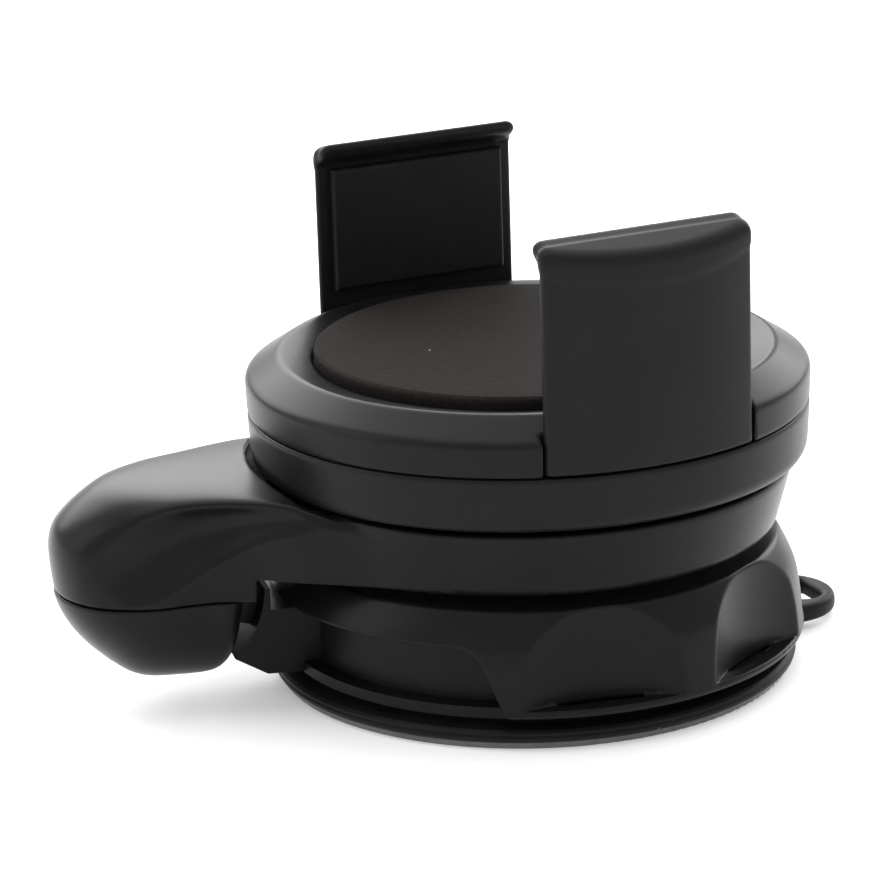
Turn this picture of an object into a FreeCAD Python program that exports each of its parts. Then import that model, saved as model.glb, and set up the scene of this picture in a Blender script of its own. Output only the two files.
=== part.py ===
import FreeCAD, Part
import math
import os
from FreeCAD import Vector

# Folding puck mount for a phone: suction base with a twist lock, an arm that folds up
# about a hinge beside the base, and a round head that turns on the arm and grips the
# phone between two sprung jaws. Millimetres, +Z up, origin on the ground under the
# middle of the suction cup, the arm's hinge towards -X.

# ---- driving dimensions ----
# suction cup
cup_radius = 34.0
gel_radius = 33.2
gel_thickness = 0.9
cup_rim_thickness = 1.7
cup_crown = 3.6
cup_crown_radius = 30.6
tab_angle = 10.0
tab_reach = 43.4
tab_width = 15.0
tab_thickness = 2.4
tab_hole_length = 9.0
tab_hole_width = 4.8

# base housing
flange_radius = 32.4
flange_height = 1.4
wall_radius = 30.1
wall_thickness = 2.0
wall_top = 13.9
deck_height = 6.6
deck_thickness = 1.9
guide_bore = 4.1
guide_radius = 6.8
guide_top = 15.3
retainer_web = 0.7
bracket_half_width = 6.0
bracket_reach = 6.1
bracket_low = 8.0
bracket_top = 15.2
bracket_run = 0.35
neck_half_width = 2.8
neck_half_height = 2.6

# lock ring
ring_bottom = 4.2
ring_top = 17.5
ring_plate = 2.5
ring_bottom_radius = 35.2
ring_middle_radius = 34.8
ring_middle_height = 10.5
ring_top_radius = 31.8
ring_skirt_gap = 0.4
window_top = 13.1
window_start = 151.0
window_end = 243.0
window_corner = 246.0
scallop_radius = 33.5
scallop_depth = 3.1
scallop_first = 270.7
scallop_pitch = 42.5
scallop_count = 6
ring_lip = 0.7
lock_turn = 42.0
lock_lift = 2.2

# cam and puller
cam_inner = 7.4
cam_outer = 11.6
cam_plate = 0.9
cam_flange = 13.9
cam_lug_angles = (15, 105, 195, 285)
pin_radius = 1.5
pin_half_length = 10.8
stem_radius = 4.0
stem_plate_radius = 9.0
stem_plate_thickness = 1.6

# arm and hinge
arm_bottom = 19.0
arm_top = 27.6
arm_bottom_radius = 31.6
arm_top_radius = 33.7
arm_wall = 2.4
glide_inner = 12.0
glide_outer = 20.0
glide_depth = 0.7
bulb_distance = 49.5
bulb_radius = 13.1
bulb_crown = 30.1
bulb_edge_round = 5.2
hinge_height = 16.0
bulb_depth = 12.8
cap_post_radius = 1.6
cap_post_out = 7.6
cap_post_top = 21.0
cap_reach = 9.7
step_reach = 11.1
flare_end = (22.0, 23.6)
knuckle_radius = 6.6
knuckle_gap = 1.0
hinge_pin_radius = 2.5
hinge_pin_half_length = 8.5
hinge_washer = 0.8
hinge_turn = 90.0

# head
head_turn = 12.6
head_radius = 36.0
head_bottom = 28.2
head_edge = 29.7
parting_height = 35.5
rim_top = 40.0
crease_radius = 31.8
crease_height = 42.6
dish_height = 41.7
head_wall = 2.0
pad_radius = 27.2
pad_top = 43.4
pad_floor = 41.2
hub_radius = 9.0
hub_bottom = 24.4
hub_screw_circle = 5.8
cover_screw_across = 21.5
cover_screw_along = 17.0
screw_post_radius = 3.0
rail_half_length = 29.5

# jaws
jaw_half_angle = 23.3
jaw_inner = 32.0
jaw_height = 64.5
lip_thickness = 3.4
lip_overhang = 2.2
jaw_slope = 0.35
jaw_pad_thickness = 1.3
jaw_pad_margin = 1.8
tongue_thickness = 2.4
tongue_width = 6.0
tongue_end = 16.0
pinion_pin_radius = 1.5
spring_radius = 1.1
spring_wire = 0.25
spring_post = 14.0
spring_lug = 7.0

# rack and pinion
gear_module = 1.0
pinion_teeth = 12
pressure_angle = 25.0
tooth_addendum = 0.8
tooth_dedendum = 1.05
tooth_backlash = 0.16

# clearances
running_gap = 0.05
moving_gap = 0.3
seam_gap = 0.12

# screws
screw_radius = 1.0
screw_head_radius = 1.9
screw_head_height = 1.3

# ---- derived places ----
cup_rim_top = gel_thickness + cup_rim_thickness
flange_bottom = cup_crown + 0.1
deck_top = deck_height + deck_thickness
plate_bottom = ring_top - ring_plate
cam_bottom = deck_top + 0.1
ramp_low = cam_bottom + cam_plate
ramp_slope = math.atan(lock_lift / math.radians(lock_turn) / cam_inner)
pin_height = ramp_low + pin_radius / math.cos(ramp_slope) + 0.12
cavity_top = arm_top - arm_wall
pitch_radius = gear_module * pinion_teeth / 2.0
tongue_bottom = parting_height + 0.7
tongue_top = tongue_bottom + tongue_thickness
jaw_bottom = parting_height + moving_gap
jaw_half_width = head_radius * math.sin(math.radians(jaw_half_angle))
notch_inner = jaw_inner - moving_gap
bulb = Vector(-bulb_distance, 0, hinge_height)
bulb_end = bulb_distance - cap_reach
step_distance = bulb_distance - step_reach
up = Vector(0, 0, 1)


def cylinder(radius, low, high, x=0.0, y=0.0):
    return Part.makeCylinder(radius, high - low, Vector(x, y, low), up)


def tube(outer, inner, low, high, x=0.0, y=0.0):
    return cylinder(outer, low, high, x, y).cut(cylinder(inner, low - 1, high + 1, x, y))


def cross_cylinder(radius, half_length, centre):
    start = centre + Vector(0, -half_length, 0)
    return Part.makeCylinder(radius, 2 * half_length, start, Vector(0, 1, 0))


def block(x0, x1, y0, y1, z0, z1):
    return Part.makeBox(x1 - x0, y1 - y0, z1 - z0, Vector(x0, y0, z0))


def polygon(points):
    return Part.makePolygon([Vector(*p) for p in points] + [Vector(*points[0])])


def lathe(profile):
    # profile: (radius, height) corners of a closed outline, turned about Z
    face = Part.Face(polygon([(r, 0, z) for r, z in profile]))
    return face.revolve(Vector(0, 0, 0), up, 360)


def turned(shape, degrees, centre=Vector(0, 0, 0), axis=up):
    copy = shape.copy()
    copy.rotate(centre, axis, degrees)
    return copy


def polar(radius, degrees):
    a = math.radians(degrees)
    return radius * math.cos(a), radius * math.sin(a)


def wedge(radius, start, end, low, high):
    face_points = [(0, 0, low)]
    steps = max(2, int(abs(end - start) / 10) + 1)
    for i in range(steps + 1):
        x, y = polar(radius, start + (end - start) * i / steps)
        face_points.append((x, y, low))
    return Part.Face(polygon(face_points)).extrude(Vector(0, 0, high - low))


def edges_where(shape, test):
    return [e for e in shape.Edges if test(e)]


def screw(x, y, seat, length, head_down=True):
    # pan head with a cross recess; the shank runs away from the head
    side = 1.0 if head_down else -1.0
    head_low = min(seat, seat - side * screw_head_height)
    head = cylinder(screw_head_radius, head_low, head_low + screw_head_height, x, y)
    shank_low = min(seat, seat + side * length)
    body = head.fuse(cylinder(screw_radius, shank_low, shank_low + length, x, y))
    face = seat - side * screw_head_height
    low, high = sorted((face, face + side * 0.7))
    for sx, sy in ((1.2, 0.25), (0.25, 1.2)):
        body = body.cut(block(x - sx, x + sx, y - sy, y + sy, low, high))
    return body.removeSplitter()


def screw_holes(places, seat, length, head_down=True):
    # pilot and head pocket for a group of screws, to be cut from the pieces they hold
    side = 1.0 if head_down else -1.0
    holes = []
    for x, y in places:
        low, high = sorted((seat, seat + side * (length + 0.6)))
        holes.append(cylinder(screw_radius, low, high, x, y))
        low, high = sorted((seat, seat - side * 12.0))
        holes.append(cylinder(screw_head_radius + 0.15, low, high, x, y))
    return Part.makeCompound(holes)


def coil_spring(radius, wire, pitch, length, place, direction):
    helix = Part.makeHelix(pitch, length, radius)
    section = Part.Wire(Part.makeCircle(wire, Vector(radius, 0, 0), Vector(0, 1, 0)))
    spring = Part.Wire(helix).makePipeShell([section], True, True)
    spring.Placement = FreeCAD.Placement(place, FreeCAD.Rotation(up, direction))
    return spring


# ---- suction base ----
def make_gel_pad():
    pad = cylinder(gel_radius, 0, gel_thickness)
    rim = edges_where(pad, lambda e: e.Length > 10 and e.BoundBox.ZMax < 0.01)
    return pad.makeFillet(0.3, rim)


def make_suction_cup():
    low = gel_thickness
    body = lathe([
        (0, low), (cup_radius - 0.4, low), (cup_radius, low + 0.5),
        (cup_radius, cup_rim_top - 0.5), (cup_radius - 0.4, cup_rim_top),
        (cup_crown_radius + 0.8, cup_rim_top + 0.2), (cup_crown_radius, cup_crown),
        (stem_plate_radius + 3.0, cup_crown), (stem_plate_radius + 2.0, cup_crown + 0.6),
        (0, cup_crown + 0.6)])
    tip = tab_reach - tab_width / 2.0
    tab = cylinder(tab_width / 2.0, low, low + tab_thickness, tip, 0)
    tab = tab.fuse(block(cup_radius - 6, tip, -tab_width / 2.0, tab_width / 2.0,
                         low, low + tab_thickness))
    half_slot = (tab_hole_length - tab_hole_width) / 2.0
    hole_x = tab_reach - 2.6 - tab_hole_width / 2.0
    hole = block(hole_x - tab_hole_width / 2.0, hole_x + tab_hole_width / 2.0,
                 -half_slot, half_slot, 0, 10)
    for side in (-1, 1):
        hole = hole.fuse(cylinder(tab_hole_width / 2.0, 0, 10, hole_x, side * half_slot))
    body = body.fuse(turned(tab.cut(hole), tab_angle))
    pocket = cylinder(stem_plate_radius, low + 1.2, low + 1.2 + stem_plate_thickness)
    neck = cylinder(stem_radius, low + 1.2, 20)
    return body.cut(pocket.fuse(neck)).removeSplitter()


def make_cup_stem():
    low = gel_thickness + 1.2
    stem = cylinder(stem_plate_radius, low, low + stem_plate_thickness)
    stem = stem.fuse(cylinder(stem_radius, low, pin_height + pin_radius + 0.2))
    return stem.cut(pin_solid(pin_radius)).removeSplitter()


def pin_solid(radius):
    return cross_cylinder(radius, pin_half_length, Vector(0, 0, pin_height))


def bracket_outline():
    # side view of the hinge bracket where it is wide, from the wall to the bulb
    nose = bracket_reach - bulb_distance
    beside_ring = -ring_bottom_radius - 0.5
    under_window = window_top - 0.7
    return [(-wall_radius + 1, flange_bottom), (beside_ring - 0.7, flange_bottom + 0.2),
            (nose, bracket_low), (nose, bracket_top), (beside_ring, bracket_top),
            (beside_ring, under_window), (-wall_radius + 1, under_window)]


def neck_drop():
    return math.degrees(math.atan2(hinge_height - 10.0, bulb_distance - wall_radius))


def make_bracket():
    face = Part.Face(polygon([(x, -bracket_half_width, z) for x, z in bracket_outline()]))
    wide = face.extrude(Vector(0, 2 * bracket_half_width, 0))
    sweep = cross_cylinder(bulb_depth + bracket_run, bulb_radius + 2, bulb)
    wide = wide.cut(sweep)
    knuckle = cross_cylinder(knuckle_radius, neck_half_width, bulb)
    neck = block(0, bulb_distance - wall_radius, -neck_half_width, neck_half_width,
                 -neck_half_height, neck_half_height)
    neck = turned(neck, neck_drop(), Vector(0, 0, 0), Vector(0, 1, 0))
    neck.translate(bulb)
    under_ring = cylinder(ring_bottom_radius + 0.5, window_top - 0.7, 40)
    return wide.fuse(neck).fuse(knuckle).cut(under_ring)


def make_base_housing():
    flange_top = flange_bottom + flange_height
    body = tube(flange_radius, wall_radius - wall_thickness, flange_bottom, flange_top)
    body = body.fuse(tube(wall_radius, wall_radius - wall_thickness, flange_bottom, wall_top))
    body = body.fuse(cylinder(wall_radius - 0.5, deck_height, deck_top))
    body = body.fuse(cylinder(guide_radius, deck_height, guide_top))
    bracket = make_bracket().cut(cylinder(wall_radius - 0.8, -5, 40))
    body = body.fuse(bracket)
    for angle in range(30, 390, 60):
        rib = block(guide_radius - 0.5, wall_radius - 1, -0.8, 0.8, flange_top, deck_height)
        body = body.fuse(turned(rib, angle))
    body = body.cut(cylinder(guide_bore, 0, 40))
    slot = block(-20, 20, -pin_radius - 0.2, pin_radius + 0.2,
                 pin_height - pin_radius - 0.3, guide_top + 1)
    slot = slot.common(cylinder(guide_radius + 1, 0, 40))
    body = body.cut(turned(slot, 90)).cut(cylinder(stem_plate_radius + 2.6, 0, deck_height))
    body = body.cut(cross_cylinder(hinge_pin_radius + running_gap, 20, bulb))
    body = body.cut(screw_holes(retainer_screw_places(), guide_top, 4.0, False))
    return body.removeSplitter()


def retainer_screw_places():
    middle = (guide_bore + guide_radius) / 2.0
    return [(side * middle, 0.0) for side in (-1, 1)]


def make_ring_retainer():
    plate = cylinder(cam_outer + 0.1, guide_top, plate_bottom + 1.2)
    plate = plate.fuse(cylinder(cam_outer + 2.7, plate_bottom + 1.2, ring_top - 0.3))
    seat = guide_top + retainer_web
    holes = []
    for x, y in retainer_screw_places():
        holes.append(cylinder(screw_radius, 10, 30, x, y))
        holes.append(cylinder(screw_head_radius + 0.15, seat, 30, x, y))
    return plate.cut(Part.makeCompound(holes)).removeSplitter()


def make_retainer_screws():
    seat = guide_top + retainer_web
    return Part.makeCompound([screw(x, y, seat, 4.2, False)
                              for x, y in retainer_screw_places()])


# ---- twist lock ----
def ring_profile():
    return [(ring_bottom_radius - 0.7, ring_bottom), (ring_bottom_radius, ring_bottom + 0.8),
            (ring_middle_radius + 0.25, 7.6), (ring_middle_radius, ring_middle_height),
            (ring_middle_radius - 0.7, 13.8), (ring_top_radius + 0.8, ring_top - 1.0),
            (ring_top_radius, ring_top)]


def window_side():
    # sloping end of the window, seen from outside: across the radius, and up
    corner = [Vector(0, -9.0, 0), Vector(0, -9.0, window_top), Vector(0, -3.4, window_top)]
    round_end = Vector(0, -0.5, window_top - 2.1)
    foot = Vector(0, 3.0, ring_bottom - 1.0)
    arc = Part.Arc(corner[2], Vector(0, -1.6, window_top - 0.7), round_end).toShape()
    lines = [Part.makeLine(corner[0], corner[1]), Part.makeLine(corner[1], corner[2]), arc,
             Part.makeLine(round_end, foot),
             Part.makeLine(foot, Vector(0, 3.0, 0)), Part.makeLine(Vector(0, 3.0, 0), corner[0])]
    return Part.Face(Part.Wire(lines)).extrude(Vector(60, 0, 0))


def window_cutter():
    # space under the raised part of the skirt, where the bracket passes
    side = window_side()
    cut = wedge(60.0, window_start, window_end, 0, window_top)
    cut = cut.fuse(turned(side, window_corner))
    middle = window_start + window_end - window_corner
    return cut.fuse(turned(side.mirror(Vector(0, 0, 0), Vector(0, 1, 0)), middle))


def make_lock_ring():
    outline = ring_profile()
    body = lathe([(0, ring_bottom)] + outline + [(0, ring_top)])
    skirt_inner = wall_radius + ring_skirt_gap
    body = body.cut(cylinder(skirt_inner, 0, plate_bottom))
    body = body.cut(cylinder(flange_radius + ring_skirt_gap, 0,
                             flange_bottom + flange_height + moving_gap))
    hub_inner = cam_outer + 0.35
    body = body.fuse(tube(cam_flange, hub_inner, ramp_low, ring_top))
    body = body.cut(cylinder(hub_inner, 0, 40))
    body = body.cut(cylinder(cam_outer + 3.0, plate_bottom + 1.0, 40))
    for i in range(scallop_count):
        centre = ring_middle_radius - scallop_depth + scallop_radius
        x, y = polar(centre, scallop_first + i * scallop_pitch)
        body = body.cut(cylinder(scallop_radius, ring_bottom + ring_lip, 40, x, y))
    skirt = tube(60, cam_flange + 1, 0, plate_bottom)
    body = body.cut(window_cutter().common(skirt))
    for angle in cam_lug_angles:
        body = body.cut(turned(cam_lug(running_gap), angle))
    return body.removeSplitter()


def cam_lug(gap):
    # key between the cam ring and the lock ring's hub
    return block(cam_outer + 0.4, cam_flange + gap, -2.0 - gap, 2.0 + gap,
                 ramp_low - 0.2, ramp_low + 1.1 + gap)


def make_ramp(start, sweep, low, high):
    # a rising step between two radii, with flat facets
    steps = 9
    inner, outer, top = [], [], []
    for i in range(steps + 1):
        angle = start + sweep * i / steps
        top.append(low + (high - low) * i / steps)
        inner.append(polar(cam_inner, angle))
        outer.append(polar(cam_outer, angle))
    base = cam_bottom + 0.2
    faces = []

    def add(*points):
        faces.append(Part.Face(polygon(points)))

    for i in range(steps):
        j = i + 1
        add((*inner[i], base), (*inner[j], base), (*inner[j], top[j]), (*inner[i], top[i]))
        add((*outer[i], base), (*outer[j], base), (*outer[j], top[j]), (*outer[i], top[i]))
        add((*inner[i], base), (*outer[i], base), (*outer[j], base))
        add((*inner[i], base), (*outer[j], base), (*inner[j], base))
        add((*inner[i], top[i]), (*outer[i], top[i]), (*outer[j], top[j]))
        add((*inner[i], top[i]), (*outer[j], top[j]), (*inner[j], top[j]))
    for k in (0, steps):
        add((*inner[k], base), (*outer[k], base), (*outer[k], top[k]), (*inner[k], top[k]))
    shell = Part.Shell(Part.makeCompound(faces).Faces)
    shell.sewShape()
    solid = Part.Solid(Part.Shell(shell.Faces))
    if solid.Volume < 0:
        solid.reverse()
    return solid


def make_cam_ring():
    ring = tube(cam_flange, cam_inner, cam_bottom, ramp_low)
    rate = lock_lift / lock_turn
    extra = 6.0
    for angle in (0, 180):
        start = 90.0 - extra + angle
        ramp = make_ramp(start, lock_turn + 2 * extra,
                         ramp_low - rate * extra, ramp_low + rate * (lock_turn + extra))
        ring = ring.fuse(ramp)
    for angle in cam_lug_angles:
        ring = ring.fuse(turned(cam_lug(0.0), angle))
    ring = ring.cut(cylinder(cam_inner, 0, 40))
    return ring.removeSplitter()


# ---- arm ----
def arm_outline():
    # half plan of the arm beside the disc: bulb, neck and the flare into the disc
    beyond_hinge = [(0, 0), (7.5, 0.2), (13.0, 2.2), (19.0, 5.6)]
    return [(ahead - bulb_distance, bulb_radius + out) for ahead, out in beyond_hinge] + [
        (-flare_end[0], flare_end[1])]


def arm_plan(low, high):
    side = [Vector(x, -y, low) for x, y in arm_outline()]
    far = [Vector(v.x, -v.y, low) for v in reversed(side)]
    tip = Vector(-bulb_distance - bulb_radius, 0, low)
    near_curve = Part.BSplineCurve()
    near_curve.interpolate(side, InitialTangent=Vector(1, 0, 0),
                           FinalTangent=Vector(0.83, -0.56, 0))
    far_curve = Part.BSplineCurve()
    far_curve.interpolate(far, InitialTangent=Vector(-0.83, -0.56, 0),
                          FinalTangent=Vector(-1, 0, 0))
    edges = [Part.Arc(far[-1], tip, side[0]).toShape(), near_curve.toShape(),
             Part.makeLine(side[-1], far[0]), far_curve.toShape()]
    face = Part.Face(Part.Wire(edges))
    return face.extrude(Vector(0, 0, high - low))


def head_sweep():
    # room that the turning head needs above the arm
    gap = 0.4
    return lathe([(0, arm_top), (head_radius - 5 * gap, arm_top),
                  (head_radius + gap, head_edge - 3 * gap),
                  (head_radius + gap, 60), (0, 60)])


def scoop():
    # tapered hollow along the side of the arm, from the bulb to the disc
    start = Vector(-bulb_distance - 10.5, -bulb_radius - 0.2, hinge_height + 8.2)
    end = Vector(-27.0, -19.3, arm_top + 2.1)
    run = end - start
    return Part.makeCone(7.8, 1.2, run.Length, start, run)


def make_arm_shell():
    bar = arm_plan(hinge_height, bulb_crown)
    rim = edges_where(bar, lambda e: e.BoundBox.ZMin > bulb_crown - 0.01
                      and e.BoundBox.XMin < -flare_end[0] - 0.1)
    bar = bar.makeFillet(bulb_edge_round, rim)
    disc = lathe([(0, arm_bottom), (arm_bottom_radius - 0.5, arm_bottom),
                  (arm_bottom_radius, arm_bottom + 0.6), (arm_top_radius, arm_top - 0.6),
                  (arm_top_radius - 0.5, arm_top), (0, arm_top)])
    bar = bar.cut(head_sweep())
    bar = bar.cut(block(-step_distance, 0, -40, 40, 0, arm_bottom))
    body = disc.fuse(bar)
    hollow = scoop()
    body = body.cut(hollow)
    body = body.cut(hollow.mirror(Vector(0, 0, 0), Vector(0, 1, 0)))
    body = body.cut(cylinder(cavity_radius(), 0, cavity_top))
    for x, y in arm_screw_places():
        body = body.fuse(cylinder(screw_post_radius, arm_bottom + 2.2, cavity_top + 0.5, x, y))
    body = body.cut(screw_holes(arm_screw_places(), arm_bottom + screw_head_height + 0.2, 6.0))
    body = body.cut(cylinder(hub_radius + running_gap, 0, 60))
    body = body.cut(tube(glide_outer, glide_inner, arm_top - glide_depth, 60))
    slot = neck_half_width + hinge_washer + 0.25
    body = body.cut(cross_cylinder(knuckle_radius + knuckle_gap, slot, bulb))
    mouth = block(0, bulb_distance - step_distance + 1, -slot, slot, -20,
                  neck_half_height + 0.6)
    mouth.translate(bulb)
    body = body.cut(mouth)
    body = body.cut(cross_cylinder(hinge_pin_radius, hinge_pin_half_length, bulb))
    body = body.cut(cap_posts(running_gap))
    return body.removeSplitter()


def cavity_radius():
    return arm_bottom_radius - 3.2


def arm_screw_places():
    return [polar(cavity_radius() - 3.4, a) for a in (45, 135, 225, 315)]


def cap_posts(gap):
    # round posts of the cap, pressed up into the arm beside the hinge
    posts = [cylinder(cap_post_radius + gap, hinge_height - 3.0, cap_post_top + 4 * gap,
                      -bulb_distance + ahead, side * cap_post_out)
             for ahead in (-4.6, 5.2) for side in (-1, 1)]
    return Part.makeCompound(posts)


def make_arm_underplate():
    plate = cylinder(cavity_radius() - 0.15, arm_bottom, arm_bottom + 2.0)
    holes = screw_holes(arm_screw_places(), arm_bottom + screw_head_height + 0.2, 6.0)
    return plate.cut(holes).removeSplitter()


def make_arm_screws():
    seat = arm_bottom + screw_head_height + 0.2
    return Part.makeCompound([screw(x, y, seat, 5.6) for x, y in arm_screw_places()])


def make_bulb_cap():
    top = hinge_height - seam_gap
    section = Part.makeSphere(bulb_depth, bulb)
    straight = Part.makeCylinder(bulb_depth, 30, bulb, Vector(1, 0, 0))
    body = section.fuse(straight)
    plan = arm_plan(-5, hinge_height - seam_gap)
    body = body.common(plan).common(block(-80, -bulb_end, -40, 40, -5, top))
    body = body.common(cross_cylinder(bulb_depth, bulb_radius + 2, bulb))
    body = body.common(Part.makeSphere(bulb_depth + 2.1, bulb + Vector(2.0, 0, 2.3)))
    slot = neck_half_width + 0.45
    channel = cross_cylinder(bulb_depth + 1, slot, bulb)
    # the neck swings in this channel; the cap stays whole beyond the folded place
    folded = math.radians(neck_drop() + hinge_turn)
    along = Vector(math.cos(folded), 0, -math.sin(folded))
    aside = Vector(-math.sin(folded), 0, -math.cos(folded)) * (neck_half_height + 0.5)
    start = bulb + aside + Vector(0, -slot - 1, 0)
    keep = Part.Face(Part.makePolygon([start, start + along * 40, start + Vector(-60, 0, -40),
                                       start + Vector(-60, 0, 5), start]))
    keep = keep.extrude(Vector(0, 2 * slot + 2, 0))
    body = body.cut(channel.cut(keep))
    wide = neck_half_width + hinge_washer + 0.25
    body = body.cut(cross_cylinder(knuckle_radius + knuckle_gap, wide, bulb))
    body = body.cut(cross_cylinder(hinge_pin_radius, hinge_pin_half_length, bulb))
    return body.fuse(cap_posts(0.0).Solids).removeSplitter()


def make_hinge_pin():
    return cross_cylinder(hinge_pin_radius, hinge_pin_half_length, bulb)


def make_hinge_washers():
    rings = []
    for side in (-1, 1):
        middle = side * (neck_half_width + 0.1 + hinge_washer / 2.0)
        centre = bulb + Vector(0, middle, 0)
        ring = cross_cylinder(knuckle_radius - 0.4, hinge_washer / 2.0, centre)
        rings.append(ring.cut(cross_cylinder(hinge_pin_radius + 0.02, 2, centre)))
    return Part.makeCompound(rings)


def make_swivel_glide():
    return tube(glide_outer - 0.1, glide_inner + 0.1, arm_top - glide_depth, head_bottom - 0.1)


# ---- head ----
def in_head(shape):
    return turned(shape, head_turn)


def cover_screw_places():
    return [(sx * cover_screw_across, sy * cover_screw_along)
            for sx in (-1, 1) for sy in (-1, 1)]


def hub_screw_places():
    return [polar(hub_screw_circle, a) for a in (90, 210, 330)]


def make_head_base():
    outside = lathe([(0, head_bottom), (head_radius - 2.2, head_bottom),
                     (head_radius - 0.9, head_bottom + 0.5), (head_radius - 0.3, head_edge),
                     (head_radius - 0.15, 32.0), (head_radius, parting_height - 0.3),
                     (head_radius - 0.3, parting_height), (0, parting_height)])
    inner = head_radius - head_wall - 0.4
    floor = head_bottom + head_wall
    body = outside.cut(cylinder(inner, floor, 60))
    body = body.fuse(cylinder(hub_radius, hub_bottom, floor))
    body = body.fuse(cylinder(3.4, floor - 0.2, tongue_bottom - 0.2))
    for side in (-1, 1):
        x0 = side * (pitch_radius + 1.4)
        x1 = side * (pitch_radius + 1.4 + tongue_width - 0.8)
        rail = block(min(x0, x1), max(x0, x1), -rail_half_length, rail_half_length,
                     floor - 0.2, tongue_bottom - 0.1)
        body = body.fuse(rail.common(cylinder(inner + 0.5, 0, 60)))
    for side in (0, 180):
        x, y = spring_axis(), -spring_post
        body = body.fuse(turned(cylinder(1.0, floor - 0.2, tongue_top - 0.1, x, y), side))
    for x, y in cover_screw_places():
        body = body.fuse(cylinder(screw_post_radius, floor - 0.2, parting_height, x, y))
    body = body.cut(cylinder(pinion_pin_radius, head_bottom + 0.8, 60))
    body = body.cut(screw_holes(cover_screw_places(), head_bottom + 2.4, 9.0))
    body = body.cut(screw_holes(hub_screw_places(), hub_bottom - 0.9, 5.0))
    return in_head(body.removeSplitter())


def spring_axis():
    return pitch_radius + tooth_dedendum + tongue_width + spring_radius + 1.4


def jaw_notch():
    wide = jaw_half_width + moving_gap
    notch = block(-wide, wide, notch_inner, 60, parting_height - 1, 60)
    slot_in = pitch_radius - tooth_addendum - moving_gap
    slot_out = pitch_radius + tooth_dedendum + tongue_width + moving_gap
    slot = block(slot_in, slot_out, 20, 60, parting_height - 1, tongue_top + 0.25)
    return notch.fuse(slot)


def make_head_cover():
    low = parting_height + seam_gap
    inner = head_radius - head_wall - 0.4
    body = lathe([(0, low), (head_radius - 0.3, low), (head_radius + 0.05, low + 0.35),
                  (head_radius + 0.1, rim_top - 0.35), (head_radius - 0.25, rim_top + 0.1),
                  (crease_radius, crease_height), (crease_radius - 0.8, crease_height - 0.1),
                  (pad_radius + 0.4, dish_height), (pad_radius + 0.15, pad_floor),
                  (0, pad_floor)])
    body = body.cut(lathe([(0, 0), (inner, 0), (inner, rim_top - 1.6),
                           (crease_radius - 2.0, pad_floor - 1.8), (0, pad_floor - 1.8)]))
    for side in (0, 180):
        wall = block(-jaw_half_width - 1.8, jaw_half_width + 1.8, notch_inner - 1.6,
                     notch_inner + 0.5, low, crease_height)
        envelope = lathe([(0, low), (head_radius - 1, low), (head_radius - 1, rim_top - 0.2),
                          (crease_radius - 0.5, crease_height - 0.4), (0, pad_floor - 0.5)])
        body = body.fuse(turned(wall.common(envelope), side))
        body = body.cut(turned(jaw_notch(), side))
    for x, y in cover_screw_places():
        body = body.fuse(cylinder(screw_post_radius, low, pad_floor - 1.0, x, y))
    body = body.fuse(cylinder(2.6, tongue_top + 0.9, pad_floor - 1.0))
    body = body.cut(cylinder(pinion_pin_radius, 0, tongue_top + 2.2))
    body = body.cut(screw_holes(cover_screw_places(), head_bottom + 2.4, 9.0))
    return in_head(body.removeSplitter())


def make_grip_pad():
    pad = lathe([(0, pad_floor), (pad_radius - 0.2, pad_floor), (pad_radius, pad_top - 0.4),
                 (pad_radius - 0.5, pad_top), (0, pad_top)])
    return in_head(pad)


def make_cover_screws():
    seat = head_bottom + 2.4
    return in_head(Part.makeCompound([screw(x, y, seat, 8.6) for x, y in cover_screw_places()]))


def make_swivel_retainer():
    plate = tube(hub_radius + 4.0, 3.0, hub_bottom - 0.9, hub_bottom)
    holes = [cylinder(screw_radius + 0.1, 0, 60, x, y) for x, y in hub_screw_places()]
    return in_head(plate.cut(Part.makeCompound(holes)))


def make_swivel_spring_washer():
    return tube(hub_radius + 3.6, hub_radius + 0.2, hub_bottom, hub_bottom + 0.6)


def make_swivel_screws():
    seat = hub_bottom - 0.9
    return in_head(Part.makeCompound([screw(x, y, seat, 4.6) for x, y in hub_screw_places()]))


# ---- rack and pinion ----
def involute(base, radius):
    return math.sqrt(max(0.0, (radius / base) ** 2 - 1)) - math.acos(min(1.0, base / radius))


def pinion_outline():
    alpha = math.radians(pressure_angle)
    base = pitch_radius * math.cos(alpha)
    root = pitch_radius - tooth_dedendum
    tip = pitch_radius + tooth_addendum
    half = math.pi / (2 * pinion_teeth) - tooth_backlash / (4 * pitch_radius)
    half = half + involute(base, pitch_radius)
    start = max(base * 1.0005, root)
    flank = []
    for i in range(7):
        radius = start + (tip - start) * i / 6.0
        flank.append((radius, half - involute(base, radius)))
    points = []
    for tooth in range(pinion_teeth):
        middle = 2 * math.pi * tooth / pinion_teeth
        points.append((root, middle - half))
        points += [(radius, middle - angle) for radius, angle in flank]
        points += [(radius, middle + angle) for radius, angle in reversed(flank)]
        points.append((root, middle + half))
    return [(r * math.cos(a), r * math.sin(a)) for r, a in points]


def make_pinion():
    low = tongue_bottom - 0.1
    outline = [(x, y, low) for x, y in pinion_outline()]
    gear = Part.Face(polygon(outline)).extrude(Vector(0, 0, tongue_thickness + 0.6))
    gear = gear.cut(cylinder(pinion_pin_radius + running_gap, 0, 60))
    return in_head(gear)


def make_pinion_pin():
    return in_head(cylinder(pinion_pin_radius, head_bottom + 0.8, tongue_top + 2.1))


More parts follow.
